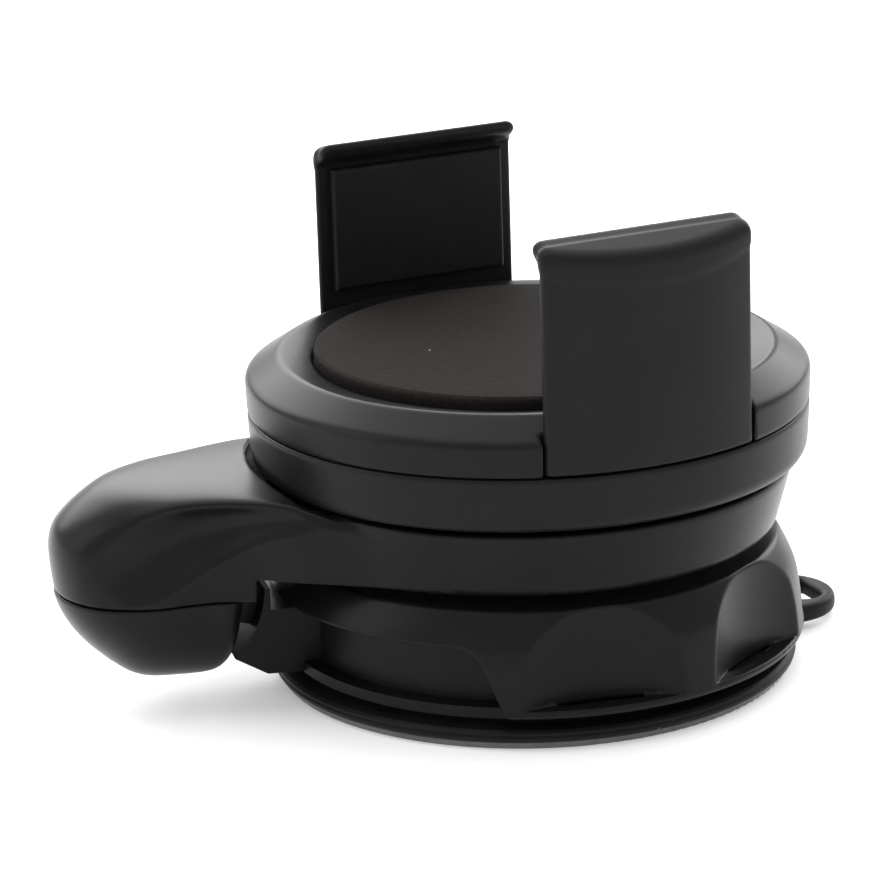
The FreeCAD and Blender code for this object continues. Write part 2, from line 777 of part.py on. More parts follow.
def rack_outline():
    # teeth point towards the pinion at x = 0; a gap faces the pinion tooth at y = 0
    pitch = math.pi * gear_module
    slope = math.tan(math.radians(pressure_angle))
    quarter = pitch / 4.0 - tooth_backlash / 4.0
    tip_x = pitch_radius - tooth_addendum
    root_x = pitch_radius + tooth_dedendum
    tip_half = quarter - tooth_addendum * slope
    root_half = quarter + tooth_dedendum * slope
    count = int((tongue_end + 6.0) / pitch)
    first = math.ceil((root_half - tongue_end) / pitch - 0.5) + 0.5
    points = [(root_x, -tongue_end)]
    for i in range(count):
        middle = (first + i) * pitch
        points += [(root_x, middle - root_half), (tip_x, middle - tip_half),
                   (tip_x, middle + tip_half), (root_x, middle + root_half)]
    return points


def make_jaw():
    arc = cylinder(head_radius, jaw_bottom, jaw_height)
    wide = block(-jaw_half_width, jaw_half_width, jaw_inner - lip_overhang, 60,
                 jaw_bottom, jaw_height)
    body = arc.common(wide)
    lip = jaw_inner - lip_overhang
    under = polygon([(-60, jaw_inner, 0), (-60, jaw_inner, jaw_height - lip_thickness),
                     (-60, lip, jaw_height - lip_thickness + 1.6), (-60, 0, jaw_height),
                     (-60, 0, 0)])
    body = body.cut(Part.Face(under).extrude(Vector(120, 0, 0)))
    lid = polygon([(-60, lip, jaw_height), (-60, 60, jaw_height - jaw_slope * (60 - lip)),
                   (-60, 60, 90), (-60, lip, 90)])
    body = body.cut(Part.Face(lid).extrude(Vector(120, 0, 0)))
    crown = edges_where(body, lambda e: e.BoundBox.ZMin > jaw_height - 3
                        and e.BoundBox.ZMax < jaw_height - 0.1 and e.Length > 20)
    body = body.makeFillet(1.8, crown)
    outline = rack_outline()
    outer_x = pitch_radius + tooth_dedendum + tongue_width
    points = outline + [(outline[0][0], jaw_inner + 1.2), (outer_x, jaw_inner + 1.2),
                        (outer_x, -tongue_end)]
    face = Part.Face(polygon([(x, y, tongue_bottom) for x, y in points]))
    tongue = face.extrude(Vector(0, 0, tongue_thickness))
    lug = block(outer_x - 1, spring_axis() + spring_radius + 0.4, spring_lug, spring_lug + 2.0,
                tongue_bottom, tongue_top)
    return body.fuse(tongue).fuse(lug).removeSplitter()


def make_jaw_pad():
    half = jaw_half_width - jaw_pad_margin
    low = crease_height + 1.6
    high = jaw_height - lip_thickness - 0.5
    pad = block(-half, half, jaw_inner - jaw_pad_thickness, jaw_inner, low, high)
    rim = edges_where(pad, lambda e: e.BoundBox.YMax < jaw_inner - jaw_pad_thickness + 0.01)
    return pad.makeFillet(0.5, rim)


def make_jaw_spring():
    # extension spring beside the rack, from the post on the base to the lug on the tongue
    start = Vector(spring_axis(), 1.2 - spring_post, (tongue_bottom + tongue_top) / 2.0)
    length = spring_post + spring_lug - 1.2 - spring_wire
    return coil_spring(spring_radius, spring_wire, 0.9, length, start, Vector(0, 1, 0))


def save(name, shape):
    solids = shape.Solids
    for solid in solids:
        if not solid.isValid():
            print("not valid:", name)
    shape = solids[0] if len(solids) == 1 else Part.makeCompound(solids)
    shape.exportStep("parts/%s.step" % name)
    box = shape.BoundBox
    print("%-22s %2d solids %9.1f mm3  x %6.1f %6.1f  y %6.1f %6.1f  z %5.1f %5.1f" % (
        name, len(solids), shape.Volume, box.XMin, box.XMax, box.YMin, box.YMax,
        box.ZMin, box.ZMax))


def main():
    os.makedirs("parts", exist_ok=True)
    save("gel_pad", make_gel_pad())
    save("suction_cup", make_suction_cup())
    save("base_housing", make_base_housing())
    save("ring_retainer", make_ring_retainer())
    save("retainer_screws", make_retainer_screws())
    save("lock_ring", make_lock_ring())
    save("cam_ring", make_cam_ring())
    save("cup_stem", make_cup_stem())
    save("cross_pin", pin_solid(pin_radius))
    save("arm_shell", make_arm_shell())
    save("arm_underplate", make_arm_underplate())
    save("arm_screws", make_arm_screws())
    save("bulb_cap", make_bulb_cap())
    save("hinge_pin", make_hinge_pin())
    save("hinge_washers", make_hinge_washers())
    save("swivel_glide", make_swivel_glide())
    save("head_base", make_head_base())
    save("head_cover", make_head_cover())
    save("grip_pad", make_grip_pad())
    save("cover_screws", make_cover_screws())
    save("swivel_retainer", make_swivel_retainer())
    save("swivel_spring_washer", make_swivel_spring_washer())
    save("swivel_screws", make_swivel_screws())
    save("pinion", make_pinion())
    save("pinion_pin", make_pinion_pin())
    for name, angle in (("near", 180), ("far", 0)):
        save("jaw_" + name, in_head(turned(make_jaw(), angle)))
        save("jaw_pad_" + name, in_head(turned(make_jaw_pad(), angle)))
        save("jaw_spring_" + name, in_head(turned(make_jaw_spring(), angle)))


main()
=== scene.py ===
import math
import bmesh
import bpy
import numpy as np
from mathutils import Matrix, Vector


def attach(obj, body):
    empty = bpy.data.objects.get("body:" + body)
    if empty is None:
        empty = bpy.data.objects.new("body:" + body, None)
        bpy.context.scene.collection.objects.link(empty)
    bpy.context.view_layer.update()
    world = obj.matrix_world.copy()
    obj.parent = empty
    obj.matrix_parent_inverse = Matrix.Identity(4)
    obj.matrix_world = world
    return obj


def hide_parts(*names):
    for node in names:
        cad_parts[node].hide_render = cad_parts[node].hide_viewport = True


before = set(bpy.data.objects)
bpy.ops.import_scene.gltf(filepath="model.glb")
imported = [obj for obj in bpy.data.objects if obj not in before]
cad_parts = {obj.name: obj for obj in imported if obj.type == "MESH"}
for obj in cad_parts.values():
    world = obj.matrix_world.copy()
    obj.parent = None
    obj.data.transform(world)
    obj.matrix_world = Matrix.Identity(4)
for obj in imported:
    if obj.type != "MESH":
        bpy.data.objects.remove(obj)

# shapes below are in millimetres, scaled to metres when a mesh is made
mm = 0.001
scene = bpy.context.scene
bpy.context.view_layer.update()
print("cad loaded:", len(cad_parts), "nodes")


def larger(a, b, soft):  # the larger of two distances, rounding the edge between them
    share = np.clip(0.5 + 0.5 * (a - b) / soft, 0, 1)
    return b + (a - b) * share + soft * share * (1 - share)


def smaller(a, b, soft):
    return -larger(-a, -b, soft)


def sideOf(r, z, first, second):  # distance to the right of the line through two points
    run, rise = second[0] - first[0], second[1] - first[1]
    return ((r - first[0]) * rise - (z - first[1]) * run) / math.hypot(run, rise)


def profileSolid(r, z, corners, soft):  # convex outline, listed from the bottom up the outside
    solid = sideOf(r, z, corners[0], corners[1])
    for first, second in zip(corners[1:-1], corners[2:]):
        solid = larger(solid, sideOf(r, z, first, second), soft)
    return solid


def curveThrough(place, stops):  # smooth curve through (place, value) stops, level past its ends
    at, value = np.array(stops, float).T
    slope = np.gradient(value, at)
    slope[0] = slope[-1] = 0.0
    place = np.clip(place, at[0], at[-1])
    i = np.clip(np.searchsorted(at, place, side="right") - 1, 0, len(at) - 2)
    gap = at[i + 1] - at[i]
    t = (place - at[i]) / gap
    rise = value[i + 1] - value[i]
    bend = (1 - t) * (slope[i] * gap - rise) + t * (rise - slope[i + 1] * gap)
    return value[i] + rise * t + t * (1 - t) * bend


def turnedXY(x, y, degrees):  # the same place, read in axes turned by this much
    c, s = math.cos(math.radians(degrees)), math.sin(math.radians(degrees))
    return x * c + y * s, y * c - x * s


def skin(name, shape, low, high, step):
    # wraps an even mesh round the places where shape(x, y, z) is below zero, then settles it on them
    axes = [np.arange(a - 2 * step, b + 3 * step, step) for a, b in zip(low, high)]
    x, y, z = np.meshgrid(*axes, indexing="ij", sparse=True)
    value = shape(x, y, z) + 0 * (x + y + z)  # filled out to the whole grid
    inside = value < 0
    corners = [(i, j, k) for i in (0, 1) for j in (0, 1) for k in (0, 1)]
    size = np.array(value.shape) - 1

    def shifted(array, corner):
        return array[tuple(slice(c, c + n) for c, n in zip(corner, size))]

    count = sum(shifted(inside, c).astype(np.int8) for c in corners)
    mixed = (count > 0) & (count < 8)
    cell = np.argwhere(mixed)
    number = np.full(tuple(size), -1)
    number[mixed] = np.arange(len(cell))
    at = np.array([shifted(value, c)[mixed] for c in corners])
    total, found = np.zeros((len(cell), 3)), np.zeros(len(cell))
    for i, first in enumerate(corners):
        for j, second in enumerate(corners):
            if j <= i or sum(abs(a - b) for a, b in zip(first, second)) != 1:
                continue
            cross = (at[i] < 0) != (at[j] < 0)
            part = at[i][cross] / (at[i][cross] - at[j][cross])
            total[cross] += np.array(first) + part[:, None] * (np.array(second) - np.array(first))
            found[cross] += 1
    points = np.array([a[0] for a in axes]) + (cell + total / found[:, None]) * step
    faces = []
    for axis in range(3):
        ahead = np.roll(inside, -1, axis)
        for outward in (True, False):
            edge = np.argwhere((inside & ~ahead) if outward else (~inside & ahead))
            edge = edge[(edge > 0).all(1) & (edge < size).all(1)]
            b, c = np.eye(3, dtype=int)[(axis + 1) % 3], np.eye(3, dtype=int)[(axis + 2) % 3]
            around = [edge, edge - b, edge - b - c, edge - c]
            quad = np.stack([number[tuple(e.T)] for e in around], 1)
            faces.append(quad if outward else quad[:, ::-1])
    small = 0.01
    for turn in range(4):
        here = shape(*points.T)
        slope = np.stack([shape(*(points + small * v).T) - shape(*(points - small * v).T)
                          for v in np.eye(3)], 1) / (2 * small)
        steep = np.maximum((slope ** 2).sum(1), 0.05)
        points -= np.clip(here / steep, -step, step)[:, None] * slope
    return solidFrom(name, points, np.concatenate(faces))


def solidFrom(name, points, faces):
    mesh = bpy.data.meshes.new(name)
    mesh.from_pydata((np.array(points) * mm).tolist(), [], [list(map(int, f)) for f in faces])
    mesh.validate()
    mesh.shade_smooth()
    piece = bpy.data.objects.new(name, mesh)
    scene.collection.objects.link(piece)
    print("made", name, len(mesh.polygons), "faces")
    return piece


def lathe(name, outline, around, bevel):
    # outline: (radius, height) points of a closed section that starts and ends on the axis
    points, faces = [], []
    ring = [p for p in outline if p[0] > 0]
    for i in range(around):
        a = 2 * math.pi * i / around
        points += [(r * math.cos(a), r * math.sin(a), z) for r, z in ring]
    n = len(ring)
    for i in range(around):
        j = (i + 1) % around
        faces += [(i * n + k, j * n + k, j * n + k + 1, i * n + k + 1) for k in range(n - 1)]
    for end, k in ((outline[0], 0), (outline[-1], n - 1)):
        points.append((0, 0, end[1]))
        for i in range(around):
            j = (i + 1) % around
            tri = (len(points) - 1, j * n + k, i * n + k)
            faces.append(tri if k == 0 else tri[::-1])
    piece = solidFrom(name, points, faces)
    rounding = piece.modifiers.new("edge", "BEVEL")
    rounding.width, rounding.segments = bevel * mm, 3
    rounding.limit_method, rounding.angle_limit = "ANGLE", math.radians(18)
    applyAll(piece)
    return piece


def applyAll(piece):
    graph = bpy.context.evaluated_depsgraph_get()
    done = bpy.data.meshes.new_from_object(piece.evaluated_get(graph))
    piece.modifiers.clear()
    piece.data = done


def joined(name, parts):  # one piece from several meshes that touch
    whole = bmesh.new()
    for part in parts:
        whole.from_mesh(part.data)
    mesh = bpy.data.meshes.new(name)
    whole.to_mesh(mesh)
    whole.free()
    mesh.shade_smooth()
    piece = bpy.data.objects.new(name, mesh)
    scene.collection.objects.link(piece)
    for part in parts:
        bpy.data.objects.remove(part)
    return piece


class Wire:
    # one socket of a material; sums written with it add Math nodes
    def __init__(self, finish, socket):
        self.finish, self.socket = finish, socket

    def maths(self, operation, first, second=0.0):
        return self.finish.add("ShaderNodeMath", {"operation": operation}, {0: first, 1: second})

    def __add__(self, other):
        return self.maths("ADD", self, other)

    def __radd__(self, other):
        return self.maths("ADD", other, self)

    def __sub__(self, other):
        return self.maths("SUBTRACT", self, other)

    def __rsub__(self, other):
        return self.maths("SUBTRACT", other, self)

    def __mul__(self, other):
        return self.maths("MULTIPLY", self, other)

    def __rmul__(self, other):
        return self.maths("MULTIPLY", other, self)

    def __lt__(self, other):
        return self.maths("LESS_THAN", self, other)

    def __gt__(self, other):
        return self.maths("GREATER_THAN", self, other)


class Finish:
    def __init__(self, name):
        self.material = bpy.data.materials.new(name)
        self.material.use_nodes = True
        self.tree = self.material.node_tree
        self.shader = self.tree.nodes["Principled BSDF"]

    def add(self, kind, settings, sockets, out=0):
        node = self.tree.nodes.new(kind)
        for key, value in settings.items():
            if key == "stops":
                node.color_ramp.elements[0].position, node.color_ramp.elements[0].color = value[0]
                node.color_ramp.elements[1].position, node.color_ramp.elements[1].color = value[-1]
                for place, colour in value[1:-1]:
                    node.color_ramp.elements.new(place).color = colour
            else:
                setattr(node, key, value)
        for key, value in sockets.items():
            self.feed(node.inputs[key], value)
        return Wire(self, node.outputs[out])

    def feed(self, socket, value):
        if isinstance(value, Wire):
            self.tree.links.new(value.socket, socket)
        else:
            socket.default_value = value

    def set(self, **values):
        for name, value in values.items():
            self.feed(self.shader.inputs[name.replace("_", " ")], value)

    def place(self):
        return self.add("ShaderNodeTexCoord", {}, {}, "Object")

    def noise(self, scale, detail=3.0, rough=0.5, place=None):
        return self.add("ShaderNodeTexNoise", {}, {
            "Vector": place or self.place(), "Scale": scale, "Detail": detail, "Roughness": rough})

    def ramp(self, factor, stops):
        stops = [(p, c if len(c) == 4 else (*c, 1)) for p, c in stops]
        return self.add("ShaderNodeValToRGB", {"stops": stops}, {0: factor})

    def blend(self, factor, first, second):
        first = first if isinstance(first, Wire) else (*first, 1)
        second = second if isinstance(second, Wire) else (*second, 1)
        return self.add("ShaderNodeMix", {"data_type": "RGBA"}, {0: factor, 6: first, 7: second}, 2)

    def bump(self, height, depth, strength=1.0):
        return self.add("ShaderNodeBump", {}, {
            "Height": height, "Distance": depth * mm, "Strength": strength})

    def specks(self, cell, share, radius):
        # a few round specks: one in some of the cells of a scattered grid
        scattered = self.add("ShaderNodeTexVoronoi", {}, {"Vector": self.place(), "Scale": 1000 / cell})
        pick = self.add("ShaderNodeTexVoronoi", {}, {"Vector": self.place(), "Scale": 1000 / cell}, 1)
        chosen = self.add("ShaderNodeSeparateColor", {}, {0: pick}) > 1 - share
        return chosen * (scattered < radius / cell)


plastics = {
    "housingPlastic": {"colour": 0.0060, "rough": 0.38, "grain": 0.010, "dust": 0.05},
    "ringPlastic": {"colour": 0.0050, "rough": 0.30, "grain": 0.006, "dust": 0.02},
    "armPlastic": {"colour": 0.0055, "rough": 0.28, "grain": 0.005, "dust": 0.02},
    "headPlastic": {"colour": 0.0062, "rough": 0.32, "grain": 0.006, "dust": 0.02},
    "jawPlastic": {"colour": 0.0070, "rough": 0.38, "grain": 0.008, "dust": 0.02},
}


def plasticFinish(name, colour, rough, grain, dust):
    # satin moulded plastic: fine spark grain, faint flow clouds and a few specks of dust
    f = Finish(name)
    cloud = f.noise(90, 4, 0.6)
    fine = f.noise(4200, 2, 0.6)
    speck = f.specks(3.2, dust, 0.10)
    dark, light = colour * 0.82, colour * 1.2
    base = f.ramp(cloud, [(0.3, (dark, dark, dark * 1.01)), (0.7, (light, light, light * 1.02))])
    f.set(Base_Color=f.blend(speck, base, (0.42, 0.41, 0.39)),
          Roughness=rough - 0.05 + cloud * 0.06 + fine * 0.05 + speck * 0.3,
          Normal=f.bump(fine + speck * 0.6, grain))
    f.shader.inputs["IOR"].default_value = 1.22
    return f.material


def rubberFinish(name, colour, rough, dust):
    # soft rubber: matt, slightly mottled, and it holds a little dust
    f = Finish(name)
    cloud = f.noise(160, 5, 0.65)
    fine = f.noise(2600, 3, 0.6)
    speck = f.specks(1.9, dust, 0.14)
    base = f.ramp(cloud, [(0.25, (colour * 0.75,) * 3), (0.75, (colour * 1.35,) * 3)])
    f.set(Base_Color=f.blend(speck, base, (0.5, 0.49, 0.47)),
          Roughness=rough - 0.06 + cloud * 0.1,
          Normal=f.bump(fine + cloud * 2 + speck, 0.02))
    f.shader.inputs["IOR"].default_value = 1.22
    return f.material


def foamFinish():
    # dense brown-black foam: short matted fibres and open cells
    f = Finish("foam")
    warp = f.noise(700, 2, 0.5)
    fibre = f.add("ShaderNodeTexNoise", {}, {
        "Vector": f.place(), "Scale": 2600.0, "Detail": 3.0, "Roughness": 0.7, "Distortion": 1.8})
    cells = f.add("ShaderNodeTexVoronoi", {}, {"Vector": f.place(), "Scale": 1900.0})
    speck = f.specks(2.6, 0.10, 0.13)
    height = fibre * 0.6 + cells * 0.5 + warp * 0.5
    base = f.ramp(fibre, [(0.3, (0.0085, 0.0066, 0.0063)), (0.55, (0.0155, 0.0125, 0.0121)),
                          (0.78, (0.030, 0.025, 0.024))])
    f.set(Base_Color=f.blend(speck, base, (0.55, 0.54, 0.52)),
          Roughness=0.9 - cells * 0.1,
          Normal=f.bump(height, 0.09))
    f.shader.inputs["Specular IOR Level"].default_value = 0.08
    return f.material


def gelFinish():
    # sticky clear grey gel, a little cloudy
    f = Finish("gel")
    cloud = f.noise(300, 4, 0.6)
    f.set(Base_Color=f.ramp(cloud, [(0.3, (0.05, 0.052, 0.055)), (0.7, (0.09, 0.092, 0.095))]),
          Roughness=0.16 + cloud * 0.12, Normal=f.bump(cloud, 0.02))
    f.shader.inputs["Coat Weight"].default_value = 0.5
    return f.material


def metalFinish(name, colour, rough, brushed):
    # turned steel: fine rings of tool marks across the grain
    f = Finish(name)
    across = f.add("ShaderNodeMapping", {}, {
        "Vector": f.place(), "Scale": (1.0, 1.0, brushed)})
    marks = f.noise(900, 3, 0.6, across)
    f.set(Base_Color=f.ramp(marks, [(0.3, tuple(c * 0.8 for c in colour)), (0.7, colour)]),
          Roughness=rough + marks * 0.12, Normal=f.bump(marks, 0.004), Metallic=1.0)
    return f.material


def acetalFinish():
    # white low-friction plastic, faintly waxy
    f = Finish("whiteAcetal")
    cloud = f.noise(220, 4, 0.6)
    f.set(Base_Color=f.ramp(cloud, [(0.3, (0.62, 0.61, 0.58)), (0.7, (0.74, 0.73, 0.70))]),
          Roughness=0.34 + cloud * 0.1, Normal=f.bump(cloud, 0.01))
    return f.material


finishes = {name: plasticFinish(name, **values) for name, values in plastics.items()}
finishes["cupRubber"] = rubberFinish("cupRubber", 0.006, 0.50, 0.16)
finishes["jawRubber"] = rubberFinish("jawRubber", 0.005, 0.55, 0.05)
finishes["foam"] = foamFinish()
finishes["gel"] = gelFinish()
finishes["pinSteel"] = metalFinish("pinSteel", (0.62, 0.61, 0.60), 0.22, 6.0)
finishes["screwSteel"] = metalFinish("screwSteel", (0.42, 0.42, 0.43), 0.30, 2.0)
finishes["springSteel"] = metalFinish("springSteel", (0.55, 0.55, 0.56), 0.26, 1.0)
finishes["whiteAcetal"] = acetalFinish()
print("finishes made:", len(finishes))

nodeFinish = {
    "gel_pad": "gel", "base_housing": "housingPlastic", "ring_retainer": "housingPlastic",
    "retainer_screws": "screwSteel", "cam_ring": "whiteAcetal", "cup_stem": "whiteAcetal",
    "cross_pin": "pinSteel", "arm_underplate": "armPlastic", "arm_screws": "screwSteel",
    "hinge_pin": "pinSteel", "hinge_washers": "whiteAcetal",
    "swivel_glide": "whiteAcetal", "cover_screws": "screwSteel",
    "swivel_retainer": "pinSteel", "swivel_spring_washer": "springSteel",
    "swivel_screws": "screwSteel", "pinion": "whiteAcetal", "pinion_pin": "pinSteel",
    "jaw_pad_near": "jawRubber", "jaw_pad_far": "jawRubber",
    "jaw_spring_near": "springSteel", "jaw_spring_far": "springSteel",
}
for node, finish in nodeFinish.items():
    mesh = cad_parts[node].data
    mesh.materials.clear()
    mesh.materials.append(finishes[finish])


def dress(piece, finish, body, slot, *nodes):
    piece.data.materials.clear()
    piece.data.materials.append(finishes[finish])
    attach(piece, body)
    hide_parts(*nodes)


cup = {"rim": 34.0, "crown": 30.6, "crownTop": 3.6, "foot": 0.9, "lipTop": 2.6,
       "tabTurn": 10.0, "tabReach": 43.4, "tabWidth": 15.0, "tabThick": 2.4,
       "holeLong": 9.0, "holeWide": 4.8}


def tabShape(x, y, z):
    u, v = turnedXY(x, y, cup["tabTurn"])
    half = cup["tabWidth"] / 2
    tip = cup["tabReach"] - half
    outside = np.hypot(np.maximum(u - tip, 0), v) - half
    outside = larger(outside, cup["rim"] - 4 - u, 0.3)
    flat = cup["foot"] + cup["tabThick"]
    tab = larger(larger(outside, z - flat, 1.1), cup["foot"] - z, 0.9)
    holeAt = cup["tabReach"] - 2.6 - cup["holeWide"] / 2
    reach = (cup["holeLong"] - cup["holeWide"]) / 2
    hole = np.hypot(u - holeAt, np.maximum(abs(v) - reach, 0)) - cup["holeWide"] / 2
    return larger(tab, -hole, 0.9)


def makeCup():
    foot, rim, lip = cup["foot"], cup["rim"], cup["lipTop"]
    disc = lathe("cupDisc", [
        (0, foot), (rim - 0.5, foot), (rim - 0.1, foot + 0.35), (rim, foot + 0.75),
        (rim - 0.16, foot + 0.85), (rim - 0.16, foot + 0.98), (rim, foot + 1.08),
        (rim - 0.1, lip - 0.35), (rim - 0.55, lip), (rim - 2.4, lip + 0.12),
        (cup["crown"] + 0.5, lip + 0.35), (cup["crown"], cup["crownTop"] - 0.1),
        (cup["crown"] - 0.5, cup["crownTop"]), (4.0, cup["crownTop"]), (4.0, foot + 1.2),
        (0, foot + 1.2)], 240, 0.08)
    tab = skin("pullTab", tabShape, (29, -4, 0.5), (44, 16, 3.6), 0.24)
    piece = joined("suctionCup", [disc, tab])
    dress(piece, "cupRubber", "base", "soft_rubber", "suction_cup")


ring = {"low": 4.2, "top": 17.5, "lip": 1.3, "scallop": 33.5, "depth": 3.1, "first": 270.7,
        "pitch": 42.5, "count": 6, "windowTop": 13.1, "windowEnd": 246.0, "windowStart": 148.0,
        "skirt": 30.5, "plate": 15.0, "hub": 13.9, "hubLow": 9.5, "flangeRoom": 32.8,
        "flangeTop": 5.3, "bore": 11.95, "recess": 14.6, "recessFloor": 16.0}


def windowEnd(x, y, z, degrees, way):
    # sloping end of the window: this far round the ring, facing this way
    across = turnedXY(x, y, degrees)[1]
    return sideOf(across * way, z, (3.0, 3.2), (-0.5, 11.0))


def ringShape(x, y, z):
    r = np.hypot(x, y)
    low, top = ring["low"], ring["top"]
    body = profileSolid(r, z, [(0, low), (34.5, low), (35.2, 5.0), (35.05, 7.6), (34.8, 10.5),
                               (34.1, 13.8), (32.6, 16.5), (31.8, top), (0, top)], 0.4)
    reach = 34.8 - ring["depth"] + ring["scallop"]
    for i in range(ring["count"]):
        a = math.radians(ring["first"] + i * ring["pitch"])
        bite = np.hypot(x - reach * math.cos(a), y - reach * math.sin(a)) - ring["scallop"]
        body = larger(body, -larger(bite, low + ring["lip"] - z, 0.15), 0.2)
    skirt = np.maximum(np.maximum(r - ring["skirt"], z - ring["plate"]), ring["hub"] - r)
    hollow = np.minimum(skirt, np.maximum(r - ring["hub"], z - ring["hubLow"]))
    hollow = np.minimum(hollow, np.maximum(r - ring["flangeRoom"], z - ring["flangeTop"]))
    recess = np.maximum(r - ring["recess"], ring["recessFloor"] - z)
    hollow = np.minimum(hollow, np.minimum(r - ring["bore"], recess))
    window = larger(z - ring["windowTop"], windowEnd(x, y, z, ring["windowEnd"], 1), 2.6)
    window = larger(window, windowEnd(x, y, z, ring["windowStart"], -1), 2.6)
    hollow = np.minimum(hollow, np.maximum(window, ring["hub"] + 1 - r))
    return larger(body, -hollow, 0.35)


arm = {"bulbAt": 49.5, "hinge": 16.0, "bottom": 19.0, "top": 27.6, "step": 38.5, "slot": 3.85,
       "knuckle": 7.6, "mouthEnd": 37.4, "mouthTop": 19.2, "cavity": 28.4, "cavityTop": 25.2,
       "bore": 9.05, "barEnd": 15.5, "crest": 29.0, "domeFrom": 19, "domeRise": 11.3,
       "droop": 0.0045, "shoulder": 13, "shoulderDroop": 0.045}
# along the arm's side: (place, value) from the tip of the bulb to the disc
wallLow = [(-66, 12.8), (-58, 12.7), (-50, 11.9), (-43, 11.8), (-38, 13.2), (-34.5, 15.4),
           (-27, 19.5), (-19, 24.3), (-15, 26.2)]
lean = [(-66, 0.16), (-50, 0.12), (-40, 0.13), (-18, 0.06)]
ridgeHeight = [(-60, 15.8), (-54, 16.1), (-49, 18.2), (-44.5, 20.8), (-40.3, 23.0),
               (-36, 24.9), (-32, 26.2), (-28.5, 27.0)]
ridgeOut = [(-66, 13.2), (-58, 12.9), (-49, 12.3), (-44, 12.6), (-40.3, 13.6),
            (-36, 15.8), (-28.5, 20.3), (-20, 25.2)]
creaseOut = [(-66, 12.2), (-58, 11.6), (-49.5, 11.2), (-44, 12.0), (-40.3, 13.3),
             (-36, 15.3), (-28.5, 19.8), (-20, 25.0)]
scoopDepth = [(-62, -0.5), (-57, 0.6), (-52, 1.9), (-46, 2.6), (-41, 2.1), (-36, 1.2), (-28.5, 0.1)]
crownTop = [(-62, 28.8), (-56, 29.4), (-49.5, 29.8), (-43, 30.1), (-36, 30.2)]
# ahead of the hinge: the power that makes the dome rounder or boxier there
domeBoxy = [(-12, 2.05), (-5, 2.4), (0, 3.4), (6, 6.0), (12, 10.0)]


def alongArm(x, y):
    # how far along the arm's side a place is, and how far out from its middle line
    ahead = x + arm["bulbAt"]
    behind = np.minimum(ahead, 0)
    out = np.hypot(behind, y)
    angle = np.arctan2(-behind, np.maximum(abs(y), 1e-6))
    return np.where(ahead < 0, -arm["bulbAt"] - 12.5 * angle, x), out


def armShape(x, y, z):
    r = np.hypot(x, y)
    disc = profileSolid(r, z, [(0, arm["bottom"]), (31.0, arm["bottom"]), (31.7, 19.7),
                               (33.75, 27.1), (33.6, arm["top"]), (0, arm["top"])], 0.3)
    along, out = alongArm(x, y)
    low = curveThrough(along, wallLow) + curveThrough(along, lean) * (z - arm["hinge"])
    base = curveThrough(along, ridgeHeight)
    part = (z - base) / (arm["crest"] - base)  # up the scoop, from its lower edge to the crown's
    a, c = curveThrough(along, ridgeOut), curveThrough(along, creaseOut)
    carved = a + (c - a) * part - curveThrough(along, scoopDepth) * 4 * part * (1 - part)
    side = (out - smaller(low, carved, 1.1)) * 0.85
    shoulder = np.maximum(out - arm["shoulder"], 0)
    droop = arm["droop"] * out * out + arm["shoulderDroop"] * shoulder ** 2
    bar = larger(side, z - curveThrough(x, crownTop) + droop, 0.8)
    ahead = x + arm["bulbAt"]
    boxy = curveThrough(ahead, domeBoxy)
    spread = np.hypot(np.minimum(ahead - 2, 0) * 0.875, y) / (curveThrough(along, wallLow) + 1.4)
    lift = np.maximum(z - arm["domeFrom"], 0) / arm["domeRise"]
    dome = (spread ** boxy + lift ** boxy + 1e-9) ** (1 / boxy) - 1
    bar = larger(bar, dome * 12.5, 0.8)
    bar = larger(bar, x + arm["barEnd"], 0.5)
    # room for the head that turns above the disc
    rim = sideOf(r, z, (34.0, 27.6), (36.4, 28.6))
    sweep = np.maximum(np.maximum(arm["top"] - z, rim), r - 36.4)
    bar = larger(bar, -sweep, 0.4)
    body = smaller(bar, disc, 1.6)
    under = np.maximum(z - arm["bottom"], -arm["step"] - x)
    body = larger(larger(body, arm["hinge"] - z, 0.35), -under, 0.35)
    cavity = np.minimum(np.maximum(r - arm["cavity"], z - arm["cavityTop"]), r - arm["bore"])
    knuckle = np.hypot(x + arm["bulbAt"], z - arm["hinge"]) - arm["knuckle"]
    mouth = np.maximum(np.maximum(-arm["bulbAt"] - x, x + arm["mouthEnd"]), z - arm["mouthTop"])
    slot = np.maximum(np.minimum(knuckle, mouth), abs(y) - arm["slot"])
    return larger(body, -np.minimum(cavity, slot), 0.25)


cap = {"deep": 12.2, "end": 39.8, "top": 15.88, "channel": 3.25, "folded": 106.7, "neck": 3.1,
       "taper": [(-8, 1.6), (-3, 1.85), (2, 2.1), (8, 2.3)], "round": 12.6, "endLean": 0.12,
       "endSoft": 3.2}


def capShape(x, y, z):
    along, out = alongArm(x, y)
    ahead = x + arm["bulbAt"]
    drop = arm["hinge"] - z
    taper = curveThrough(ahead, cap["taper"])
    across = out / curveThrough(along, wallLow)
    down = np.maximum(drop, 0) / cap["deep"]
    body = ((across ** taper + down ** taper + 1e-9) ** (1 / taper) - 1) * 11.5
    body = larger(body, np.hypot(np.maximum(ahead, 0), drop) - cap["round"], 1.0)
    body = larger(body, x + cap["end"] + cap["endLean"] * drop, cap["endSoft"])
    body = larger(body, z - cap["top"], 0.22)
    a = math.radians(cap["folded"])
    beside = -math.sin(a) * ahead + math.cos(a) * drop - cap["neck"]
    channel = np.maximum(abs(y) - cap["channel"], beside)
    knuckle = np.maximum(np.hypot(ahead, drop) - arm["knuckle"], abs(y) - arm["slot"])
    return larger(body, -np.minimum(channel, knuckle), 0.3)


